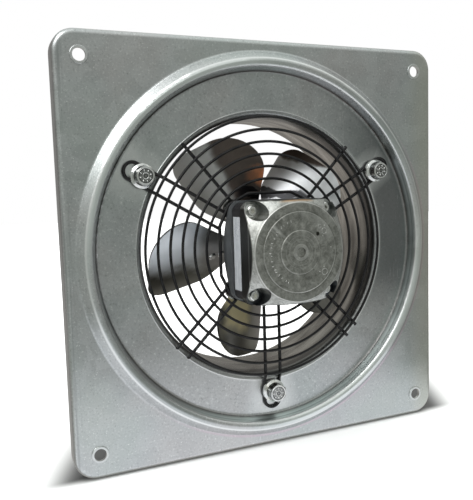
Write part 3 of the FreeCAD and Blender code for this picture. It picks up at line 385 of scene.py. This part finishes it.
def casting_face(g, colour):
    """Marks on the motor's front: turned rings with painted highlight rings and a painted glint, painted
    shade lines at its steps, corners with rub marks and a painted sheen, casting pits, and painted shade on
    the sides and in the screw wells.
    """
    x, depth, z = g.split()
    r = g.radius()
    aside = g.math("MAXIMUM", g.math("ABSOLUTE", x), g.math("ABSOLUTE", z))
    side = g.rise(aside, 0.0366, 0.0373)
    from_screw = g.length(g.math("SUBTRACT", g.math("ABSOLUTE", x), SCREW_X * MM),
                          g.math("SUBTRACT", g.math("ABSOLUTE", z), SCREW_Z * MM))
    corner = g.both(g.rise(r, 0.0362, 0.0370), g.rise(side, 0.5, 0.1))
    # rub marks with a painted sheen on the corners outside the disc
    rub_and_sheen = g.both(corner, g.rise(g.noise(60.0, detail=5.0), 0.35, 0.55))
    colour = g.mix(g.both(rub_and_sheen, 0.55), colour, (0.80, 0.81, 0.79))
    pits = g.both(corner, g.rise(g.noise(520.0, detail=4.0, rough=0.7), 0.50, 0.36))
    colour = g.mix(g.both(pits, 0.55), colour, (0.20, 0.21, 0.20))
    # painted highlight rings at the steps of the face, the faint ones turning marks
    for radius, width, strength in RING_HIGHLIGHTS_AND_TURNING:
        colour = g.mix(g.both(g.line(r, radius, width), strength), colour, (0.90, 0.90, 0.88))
    glint = g.both(g.line(r, 0.0291, 0.0006), g.rise(g.math("SUBTRACT", x, z), 0.022, 0.036))
    colour = g.mix(g.both(glint, 0.8), colour, (1.0, 1.0, 0.98))
    # painted shade lines at two steps of the face
    step_shade_lines = g.math("MAXIMUM", g.line(r, 0.0300, 0.0006), g.line(r, 0.0165, 0.0005))
    colour = g.mix(g.both(step_shade_lines, 0.25), colour, (0.12, 0.12, 0.11))
    # painted shade on the sides of the casting
    colour = g.mix(g.both(side, 0.90), colour, (0.030, 0.031, 0.028))
    seam = g.both(g.line(depth, -0.0415, 0.0012), side)
    colour = g.mix(g.both(seam, 0.55), colour, (0.55, 0.55, 0.52))
    top = g.both(g.rise(z, 0.0352, 0.0368), g.line(depth, -0.0462, 0.0022))
    colour = g.mix(g.both(top, 0.55), colour, (0.58, 0.33, 0.15))
    # painted shade in the screw wells, deepest in the lower two
    screw_well_shade = g.both(g.rise(from_screw, 0.0074, 0.0069), g.rise(r, 0.036, 0.038),
                  g.rise(depth, -0.0475, -0.043))
    lower = g.rise(z, 0.01, -0.01)
    colour = g.mix(g.both(screw_well_shade, 0.45), colour, (0.10, 0.115, 0.120))
    return g.mix(g.both(screw_well_shade, lower, 0.80), colour, (0.030, 0.036, 0.050))


def cast_aluminium():
    """Die casting: mottled skin, fine grit, brighter on worn edges."""
    g = Graph("cast_aluminium")
    mottle = g.noise(240.0, detail=6.0, rough=0.75, distortion=0.4)
    cloud = g.noise(28.0, detail=3.0)
    colour = g.ramp(mottle, [(0.32, (0.165, 0.165, 0.150)), (0.52, (0.350, 0.352, 0.325)),
                             (0.72, (0.600, 0.595, 0.560))])
    colour = g.mix(g.both(cloud, 0.35), colour, (0.27, 0.275, 0.265))
    colour = g.mix(g.both(g.edges(0.51, 0.60), 0.6), colour, (0.80, 0.80, 0.78))
    colour = casting_face(g, colour)
    rough = g.math("ADD", 0.32, g.both(mottle, 0.25))
    normal = g.bump(g.noise(900.0, detail=3.0), 0.35, 0.0002)
    normal = g.bump(mottle, 0.35, 0.0006, below=normal)
    return g.surface(colour, rough, 1.0, normal)


def dark_casting():
    """Blue-black coated casting, mottled, lighter on its edges."""
    g = Graph("dark_casting")
    mottle = g.noise(110.0, detail=5.0, rough=0.65)
    colour = g.ramp(mottle, [(0.35, (0.016, 0.019, 0.025)), (0.70, (0.055, 0.062, 0.070))])
    colour = g.mix(g.both(g.edges(0.51, 0.58), 0.5), colour, (0.16, 0.17, 0.175))
    return g.surface(colour, 0.42, 0.35, g.bump(g.noise(800.0, detail=3.0), 0.3, 0.0002))


def laminations():
    """Varnished stack: thin sheets seen edge on along the fan's axis."""
    g = Graph("laminations")
    sheets = g.waves(320.0, distortion=0.4)
    blot = g.noise(70.0, detail=4.0)
    colour = g.mix(g.both(sheets, 0.6), (0.010, 0.011, 0.015), (0.050, 0.052, 0.058))
    colour = g.mix(g.both(blot, 0.4), colour, (0.045, 0.035, 0.028))
    return g.surface(colour, 0.38, 0.3, g.bump(sheets, 0.35, 0.0002))


def label_foil():
    """Blank pale label, slightly scuffed."""
    g = Graph("label_foil")
    scuff = g.noise(300.0, detail=4.0, place=g.stretched((1.0, 1.0, 0.3)))
    grime = g.noise(60.0, detail=4.0)
    colour = g.ramp(scuff, [(0.35, (0.50, 0.53, 0.57)), (0.65, (0.68, 0.70, 0.73))])
    colour = g.mix(g.both(grime, 0.25), colour, (0.30, 0.31, 0.33))
    flecks = g.rise(g.cells(620.0, place=g.stretched((1.0, 1.0, 0.8))), 0.28, 0.20)
    upper = g.rise(g.split()[2], 0.006, 0.012)
    colour = g.mix(g.both(flecks, upper, 0.55), colour, (0.10, 0.12, 0.20))
    return g.surface(colour, 0.42, 0.25, g.bump(scuff, 0.1, 0.0001))


def copper_winding():
    """Fine enamelled strands."""
    g = Graph("copper_winding")
    strands = g.waves(700.0)
    colour = g.mix(strands, (0.32, 0.10, 0.03), (0.75, 0.33, 0.14))
    return g.surface(colour, 0.3, 0.8, g.bump(strands, 0.5, 0.0003), Coat_Weight=0.5)


def bobbin_plastic():
    """Ivory moulding with a faint grain."""
    g = Graph("bobbin_plastic")
    blot = g.noise(80.0, detail=3.0)
    colour = g.ramp(blot, [(0.3, (0.62, 0.58, 0.47)), (0.7, (0.74, 0.70, 0.60))])
    return g.surface(colour, 0.5, 0.0, g.bump(g.noise(600.0), 0.1, 0.0002))


def bearing_steel():
    """Bright ground steel with marks that run round it."""
    g = Graph("bearing_steel")
    rings = g.noise(900.0, detail=2.0, place=g.stretched((0.15, 1.0, 0.15)))
    colour = g.ramp(rings, [(0.3, (0.62, 0.62, 0.63)), (0.7, (0.78, 0.78, 0.79))])
    rough = g.math("ADD", 0.10, g.both(rings, 0.15))
    return g.surface(colour, rough, 1.0, g.bump(rings, 0.05, 0.0001))


def shaft_steel():
    """Turned steel, stained with oil."""
    g = Graph("shaft_steel")
    turning = g.noise(500.0, detail=3.0, place=g.stretched((0.1, 3.0, 0.1)))
    stain = g.noise(60.0, detail=4.0)
    colour = g.ramp(turning, [(0.3, (0.40, 0.40, 0.40)), (0.7, (0.64, 0.64, 0.63))])
    colour = g.mix(g.both(stain, 0.35), colour, (0.25, 0.20, 0.17))
    rough = g.math("ADD", 0.22, g.both(turning, 0.2))
    return g.surface(colour, rough, 1.0, g.bump(turning, 0.2, 0.0002))


def grommet_rubber():
    """Black rubber with a grey bloom."""
    g = Graph("grommet_rubber")
    bloom = g.noise(300.0, detail=4.0)
    colour = g.ramp(bloom, [(0.35, (0.012, 0.012, 0.012)), (0.75, (0.030, 0.030, 0.030))])
    return g.surface(colour, 0.62, 0.0, g.bump(bloom, 0.15, 0.0002))


def painted_blade_reflections(g, colour, r):
    """Painted reflections on the front of each blade: bright, brown, orange, pale blue, dark and pale yellow
    patches, and a dark strip where the motor mirrors in it.

    Returns the colour and how much rougher the surface is there.
    """
    x, _, z = g.split()
    facing = g.tree.nodes.new("ShaderNodeNewGeometry").outputs["Normal"]
    front = g.rise(g.split(facing)[1], 0.1, -0.1)
    wander = g.both(g.math("SUBTRACT", g.noise(45.0, detail=4.0), 0.5), 0.022)
    x = g.math("ADD", x, wander)
    z = g.math("SUBTRACT", z, wander)
    aslant = g.math("ADD", x, g.both(z, 0.5))
    level = g.math("ADD", z, g.both(x, 0.27))
    upper = g.both(front, g.rise(z, 0.018, 0.030))
    second = g.both(upper, g.rise(x, 0.0105, 0.0145))
    first = g.both(upper, g.rise(x, 0.0145, 0.0105))
    third = g.both(front, g.rise(x, -0.026, -0.034), g.rise(z, 0.034, 0.020))
    lower = g.both(front, g.rise(z, -0.036, -0.046))
    brown, grey, bright = (0.090, 0.055, 0.040), (0.90, 0.90, 0.89), (0.90, 0.91, 0.94)
    # painted bright reflection and painted dark brown reflection on the first blade's front
    bright_reflection = g.both(first, g.rise(aslant, 0.003, -0.001))
    colour = g.mix(g.both(bright_reflection, 0.85), colour, grey)
    colour = g.mix(g.both(first, g.rise(aslant, -0.001, 0.005), 0.80), colour, brown)
    # painted orange reflection near the first blade's root
    orange_reflection = g.both(first, g.line(x, 0.003, 0.015), g.rise(z, 0.048, 0.053), g.rise(z, 0.066, 0.060))
    colour = g.mix(orange_reflection, colour, (0.90, 0.37, 0.18))
    # painted bright reflection and painted brown reflection on the second blade, split along a slanted line
    colour = g.mix(g.both(second, g.rise(level, 0.083, 0.079), 0.85), colour, bright)
    colour = g.mix(g.both(second, g.rise(level, 0.079, 0.083), 0.85), colour, brown)
    # painted pale blue reflection and painted dark reflection on the third blade
    cold_reflection = g.both(third, g.rise(r, 0.044, 0.056), g.rise(z, -0.021, -0.011))
    colour = g.mix(g.both(cold_reflection, 0.85), colour, (0.84, 0.88, 0.92))
    colour = g.mix(g.both(third, g.rise(z, -0.011, -0.021), 0.85), colour, (0.100, 0.100, 0.078))
    # painted dark olive reflection on the lower blades, with a painted pale yellow reflection on one of them
    colour = g.mix(g.both(lower, 0.60), colour, (0.15, 0.135, 0.110))
    straw_reflection = g.both(lower, g.rise(z, -0.074, -0.060), g.rise(x, -0.038, -0.026), g.rise(x, 0.002, -0.010))
    colour = g.mix(g.both(straw_reflection, 0.90), colour, (0.86, 0.77, 0.50))
    # painted dark reflection of the motor in a strip near the blade roots
    motor_reflection = g.both(front, g.rise(z, 0.0375, 0.0390), g.rise(z, 0.0465, 0.0450), g.rise(x, -0.018, -0.012),
                  g.rise(r, 0.064, 0.060))
    colour = g.mix(g.both(motor_reflection, 0.92), colour, (0.022, 0.022, 0.026))
    dull = g.math("MAXIMUM", bright_reflection, g.math("MAXIMUM", orange_reflection, straw_reflection))
    return colour, g.both(dull, 0.36)


def blade_steel():
    """Pressed sheet steel, brushed along the blade, with painted reflections here and there."""
    g = Graph("blade_steel")
    r = g.radius()
    fine = g.noise(260.0, detail=5.0, rough=0.7, place=g.stretched((1.0, 1.0, 0.35)))
    cloud = g.noise(22.0, detail=5.0, rough=0.6, distortion=1.0)
    colour = g.ramp(fine, [(0.32, (0.245, 0.240, 0.235)), (0.55, (0.345, 0.340, 0.335)),
                           (0.75, (0.470, 0.465, 0.460))])
    colour = g.mix(g.both(cloud, 0.30), colour, (0.17, 0.155, 0.145))
    colour = g.mix(g.both(g.edges(), 0.4), colour, (0.66, 0.66, 0.65))
    colour, dull = painted_blade_reflections(g, colour, r)
    rough = g.math("ADD", g.math("ADD", 0.22, g.both(fine, 0.20)), dull)
    return g.surface(colour, rough, 1.0, g.bump(fine, 0.16, 0.0003))


def hub_steel():
    """Dark phosphated steel, worn bright on its edges."""
    g = Graph("hub_steel")
    blot = g.noise(120.0, detail=5.0)
    colour = g.ramp(blot, [(0.35, (0.08, 0.078, 0.078)), (0.7, (0.22, 0.21, 0.20))])
    colour = g.mix(g.both(g.edges(), 0.5), colour, (0.45, 0.44, 0.42))
    return g.surface(colour, 0.4, 0.9, g.bump(g.noise(700.0, detail=3.0), 0.2, 0.0002))


def make_materials():
    """One finished material for each material slot of the record."""
    makers = (galvanised_sheet, black_wire, zinc_fastener, cast_aluminium, dark_casting, laminations,
              label_foil, copper_winding, bobbin_plastic, bearing_steel, shaft_steel, grommet_rubber,
              blade_steel, hub_steel)
    return {maker.__name__: maker() for maker in makers}


def dress_cad_nodes(materials):
    """Every CAD node takes the material of its slot."""
    for row in frame["record"]["subparts"]:
        mesh = nodes[row["node"]].data
        mesh.materials.clear()
        mesh.materials.append(materials[row["material_slot"]])


# ---------------------------------------------------------------- small parts added to the CAD

def around(angle, radius, level, aside=0.0):
    """A point by angle about the axis, distance along that angle, height in front of the plate, offset."""
    turn = math.radians(angle)
    x = radius * math.cos(turn) - aside * math.sin(turn)
    z = radius * math.sin(turn) + aside * math.cos(turn)
    return Vector((x, -level, z)) * MM


def turned_to(angle):
    """Rotation that brings +X to the given angle about the axis, seen from the front."""
    return Euler((0.0, -math.radians(angle), 0.0)).to_quaternion()


def lump(mesh, place, size, angle, dice, uneven=0.12):
    """One rounded, slightly uneven bit of metal, such as a weld."""
    matrix = Matrix.LocRotScale(place, turned_to(angle), Vector(size) * MM)
    made = bmesh.ops.create_icosphere(mesh, subdivisions=2, radius=1.0, matrix=matrix)
    for vert in made["verts"]:
        vert.co += (vert.co - place) * dice.uniform(-uneven, uneven)


def bar(mesh, place, size, angle, soften=0.12):
    """One small raised block with softened edges."""
    matrix = Matrix.LocRotScale(place, turned_to(angle), Vector(size) * MM)
    made = bmesh.ops.create_cube(mesh, size=1.0, matrix=matrix)
    edges = {edge for vert in made["verts"] for edge in vert.link_edges}
    bmesh.ops.bevel(mesh, geom=list(edges), offset=soften * MM, segments=2, affect="EDGES")


def raised_ring(mesh, centre, radius, wire, steps=40, sides=8):
    """A low ring lying on a surface that faces forward."""
    rows = []
    for step in range(steps):
        turn = 2 * math.pi * step / steps
        out = Vector((math.cos(turn), 0, math.sin(turn)))
        row = []
        for side in range(sides):
            swing = 2 * math.pi * side / sides
            spot = out * (radius + wire * math.cos(swing)) + Vector((0, wire * math.sin(swing), 0))
            row.append(mesh.verts.new(centre + spot * MM))
        rows.append(row)
    for step, row in enumerate(rows):
        following = rows[(step + 1) % steps]
        for side in range(sides):
            beside = (side + 1) % sides
            mesh.faces.new((row[side], row[beside], following[beside], following[side]))


def new_object(name, mesh, material):
    """Turn a finished mesh into an object of the scene."""
    data = bpy.data.meshes.new(name)
    mesh.to_mesh(data)
    mesh.free()
    data.materials.append(material)
    item = bpy.data.objects.new(name, data)
    bpy.context.scene.collection.objects.link(item)
    return item


def housing_piece(name, mesh, slot_name, materials):
    """Finish one added mesh as a piece of the housing."""
    bmesh.ops.recalc_face_normals(mesh, faces=mesh.faces)
    for face in mesh.faces:
        face.smooth = True
    piece = new_object(name, mesh, materials[slot_name])
    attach(piece, "housing")


def guard_wires():
    """Every straight wire of the guard as (angle, offset to one side)."""
    loops = [(angle, side * LOOP_HALF_WIDTH) for angle in LOOP_ANGLES for side in (-1, 1)]
    return loops + cut_wires()


def cut_wires():
    """The straight wires that end in a cut, as (angle, offset to one side)."""
    pairs = [(angle, side * PAIR_HALF_WIDTH) for angle in PAIR_ANGLES for side in (-1, 1)]
    return pairs + [(angle, 0.0) for angle in SINGLE_ANGLES]


def guard_welds(materials):
    """Resistance welds where rings cross the straight wires, and the burrs on the cut wire ends."""
    dice = random.Random(4)
    mesh = bmesh.new()
    for angle, aside in guard_wires():
        for ring in RINGS:
            along = math.sqrt(ring * ring - aside * aside)
            lump(mesh, around(angle, along, 0.55, aside), (1.45, 0.95, 1.55), angle, dice)
    housing_piece("guard_welds", mesh, "black_wire", materials)
    mesh = bmesh.new()
    for angle, aside in cut_wires():
        lump(mesh, around(angle, WIRE_ENDS, -1.4, aside), (0.9, 1.3, 1.35), angle, dice, uneven=0.2)
    housing_piece("wire_end_burrs", mesh, "black_wire", materials)


def bolt_marks(materials):
    """Stamped ticks and a shallow ring on each bolt head."""
    for number, angle in enumerate(LOOP_ANGLES, start=1):
        mesh = bmesh.new()
        centre = around(angle, BOLT_CIRCLE, BOLT_FACE)
        raised_ring(mesh, centre, 2.1, 0.28)
        raised_ring(mesh, centre, 5.5, 0.22)
        for tick in range(8):
            turn = tick * 45 + angle
            middle = centre + around(turn, 3.9, 0.1)
            bar(mesh, middle, (1.7, 0.5, 0.62), turn)
        housing_piece(f"bolt_mark_{number}", mesh, "zinc_fastener", materials)


def face_marks(materials):
    """Cast ticks in an arc, ring bosses and dots on the motor's face, with no lettering."""
    dice = random.Random(11)
    mesh = bmesh.new()
    for step in range(19):
        angle = 108 + step * 7.6 + dice.uniform(-1.8, 1.8)
        middle = around(angle, 23.4 + dice.uniform(-0.5, 0.5), MOTOR_FACE)
        bar(mesh, middle, (dice.uniform(1.3, 2.1), 0.46, 0.5), angle + dice.uniform(-25, 25))
    for angle, radius, size in FACE_RINGS:
        raised_ring(mesh, around(angle, radius, MOTOR_FACE), size, 0.32)
    for angle, radius in FACE_DOTS:
        lump(mesh, around(angle, radius, MOTOR_FACE - 0.05), (0.55, 0.35, 0.55), angle, dice)
    housing_piece("face_marks", mesh, "cast_aluminium", materials)


def lip_edge(materials):
    """The fine turned-up edge where the recess meets the rounded mouth of the duct."""
    mesh = bmesh.new()
    raised_ring(mesh, around(0, 0.0, LIP_LEVEL), LIP_RADIUS, 0.55, steps=180)
    housing_piece("lip_edge", mesh, "galvanised_sheet", materials)


def duct_welds(materials):
    """The sleeve's welded seam along its underside and the spots that hold it to the plate."""
    dice = random.Random(7)
    mesh = bmesh.new()
    for step in range(30):
        bead = around(270, SLEEVE_RADIUS + 0.1, SLEEVE_START - 2.0 - 1.52 * step)
        lump(mesh, bead, (0.55, 1.25, 1.5), 270, dice)
    for spot in range(24):
        angle = spot * 15 + 7.5
        lump(mesh, around(angle, SLEEVE_RADIUS, SLEEVE_START - 1.6), (0.5, 1.2, 1.9), angle, dice)
    housing_piece("duct_welds", mesh, "galvanised_sheet", materials)


def small_parts(materials):
    """The real small parts that the CAD leaves out."""
    guard_welds(materials)
    bolt_marks(materials)
    face_marks(materials)
    lip_edge(materials)
    duct_welds(materials)


# ---------------------------------------------------------------- stage, light and camera

def stage_piece(name, mesh, material):
    """Turn one mesh of the studio into an object of the scene."""
    item = new_object(name, mesh, material)
    return item


def floor_patch(name, x_range, y_range, level, material):
    """One level rectangle of floor."""
    (left, right), (near, far) = x_range, y_range
    mesh = bmesh.new()
    outline = ((left, near), (right, near), (right, far), (left, far))
    mesh.faces.new([mesh.verts.new((x, y, level)) for x, y in outline])
    return stage_piece(name, mesh, material)


def floor_paint():
    """Matt white, softly lit from within away from the fan so that it meets the surround unseen, with a
    painted shadow just behind the plate.
    """
    g = Graph("studio_floor")
    soft = g.noise(2.0, detail=2.0)
    x, y, _ = g.split()
    away = g.math("ADD", g.both(g.rise(g.length(x, y), 0.20, 0.8), 0.75), 0.10)
    # painted shadow on the floor just behind the plate, leaning to the right; the floor's glow is cut there
    # too
    leaning = g.math("ABSOLUTE", g.math("SUBTRACT", x, g.both(y, 0.45)))
    shadow_under_fan = g.both(g.rise(y, -0.004, 0.010), g.rise(y, 0.120, 0.070), g.rise(leaning, 0.195, 0.160))
    colour = g.mix(g.both(shadow_under_fan, 0.90), g.ramp(soft, [(0.3, 0.88), (0.7, 0.90)]), (0.02, 0.02, 0.02))
    away = g.both(away, g.math("SUBTRACT", 1.0, shadow_under_fan))
    return g.surface(colour, 0.9, Emission_Color=(1.0, 1.0, 1.0), Emission_Strength=away)


def light_sheet():
    """The brightness of the pale floor as the metal in front of it mirrors it."""
    g = Graph("floor_in_metal")
    glow = g.ramp(g.noise(9.0, detail=2.0), [(0.3, (0.84, 0.87, 0.89)), (0.7, (0.94, 0.96, 0.98))])
    return g.surface((0.0, 0.0, 0.0), 1.0, Emission_Color=glow, Emission_Strength=1.0)


def surround_white():
    """Even white light on the far surround."""
    white = bpy.data.materials.new("surround_white")
    white.use_nodes = True
    tree = white.node_tree
    tree.nodes.clear()
    glow = tree.nodes.new("ShaderNodeEmission")
    glow.inputs["Strength"].default_value = 1.0
    out = tree.nodes.new("ShaderNodeOutputMaterial")
    tree.links.new(glow.outputs[0], out.inputs[0])
    return white


def studio():
    """A pale floor and a white surround. Only the floor just in front of the fan mirrors in it."""
    floor = floor_patch("floor", (-FAR, FAR), (-FAR, FAR), FLOOR, floor_paint())
    floor.visible_glossy = False
    mirrored = floor_patch("floor_mirrored", NEAR_X, NEAR_Y, FLOOR + 0.0003, light_sheet())
    mirrored.visible_camera = False
    mirrored.visible_diffuse = False
    mirrored.visible_shadow = False

    mesh = bmesh.new()
    bmesh.ops.create_uvsphere(mesh, u_segments=48, v_segments=24, radius=FAR)
    surround = stage_piece("surround", mesh, surround_white())
    surround.visible_glossy = False
    surround.visible_diffuse = False
    surround.visible_shadow = False
    surround.visible_transmission = False


def sky_side(tree, direction, low, high):
    """0 to 1 as one component of the view direction goes from low to high."""
    node = tree.nodes.new("ShaderNodeMapRange")
    tree.links.new(direction, node.inputs["Value"])
    node.interpolation_type = "SMOOTHSTEP"
    node.inputs["From Min"].default_value = low
    node.inputs["From Max"].default_value = high
    return node.outputs["Result"]


def world_mix(tree, factor, first, second):
    """The first colour at factor 0 and the second at factor 1."""
    node = tree.nodes.new("ShaderNodeMix")
    node.data_type = "RGBA"
    tree.links.new(factor, node.inputs[0])
    for socket, value in ((node.inputs[6], first), (node.inputs[7], second)):
        if isinstance(value, tuple):
            socket.default_value = (*value, 1.0)
        else:
            tree.links.new(value, socket)
    return node.outputs[2]


def surroundings():
    """Soft room light: a bright ceiling, grey in front, darker to the right and behind the fan."""
    world = bpy.data.worlds.new("studio_air")
    world.use_nodes = True
    tree = world.node_tree
    place = tree.nodes.new("ShaderNodeTexCoord").outputs["Generated"]
    parts = tree.nodes.new("ShaderNodeSeparateXYZ")
    tree.links.new(place, parts.inputs[0])
    x, y, z = parts.outputs
    front = world_mix(tree, sky_side(tree, x, -0.2, 0.9), (0.350, 0.372, 0.345), (0.290, 0.302, 0.282))
    front = world_mix(tree, sky_side(tree, z, 0.05, 0.8), front, (0.64, 0.66, 0.63))
    behind = world_mix(tree, sky_side(tree, z, -0.5, 0.05), (0.42, 0.405, 0.385),
                       (0.235, 0.228, 0.216))
    whole = world_mix(tree, sky_side(tree, y, -0.15, 0.35), front, behind)
    whole = world_mix(tree, sky_side(tree, z, 0.45, 0.85), whole, (0.82, 0.86, 0.83))
    shade = tree.nodes["Background"]
    tree.links.new(whole, shade.inputs["Color"])
    bpy.context.scene.world = world


def area_light(name, place, aim, side, power):
    """A soft square lamp that faces the aim."""
    data = bpy.data.lights.new(name, "AREA")
    data.shape = "RECTANGLE"
    data.size = side
    data.size_y = side
    data.energy = power
    lamp = bpy.data.objects.new(name, data)
    lamp.location = place
    lamp.rotation_euler = (Vector(aim) - Vector(place)).to_track_quat("-Z", "Y").to_euler()
    bpy.context.scene.collection.objects.link(lamp)
    return lamp


def lighting():
    """Room light, a soft key from the upper left and a lamp for the floor alone."""
    surroundings()
    area_light("key_light", (-1.0, -0.6, 1.3), (0, 0, 0), 1.1, 11.0)
    top = area_light("floor_light", (0.0, -0.2, 2.2), (0.0, -0.2, -0.15), 3.0, 60.0)
    top.visible_glossy = False
    bpy.context.scene.view_settings.view_transform = "Standard"


def camera():
    """The viewing angle: from the left and a little above, close enough for strong perspective."""
    azimuth = math.radians(-23.6)
    elevation = math.radians(5.66)
    roll = math.radians(-1.815)
    distance = 0.4908
    target = Vector((-0.0286, 0.0, -0.0002))
    back = Vector((
        math.sin(azimuth) * math.cos(elevation),
        -math.cos(azimuth) * math.cos(elevation),
        math.sin(elevation),
    ))
    right = (-back).cross(Vector((0, 0, 1))).normalized()
    up = right.cross(-back)
    rolled_right = right * math.cos(roll) + up * math.sin(roll)
    rolled_up = up * math.cos(roll) - right * math.sin(roll)
    place = target + back * distance
    data = bpy.data.cameras.new("view")
    data.sensor_width = 36.0
    data.lens = 46.26
    data.clip_start = 0.01
    item = bpy.data.objects.new("view", data)
    turn = Matrix((rolled_right, rolled_up, back)).transposed().to_4x4()
    item.matrix_world = Matrix.Translation(place) @ turn
    bpy.context.scene.collection.objects.link(item)
    bpy.context.scene.camera = item


camera()
materials = make_materials()
dress_cad_nodes(materials)
small_parts(materials)
studio()
lighting()
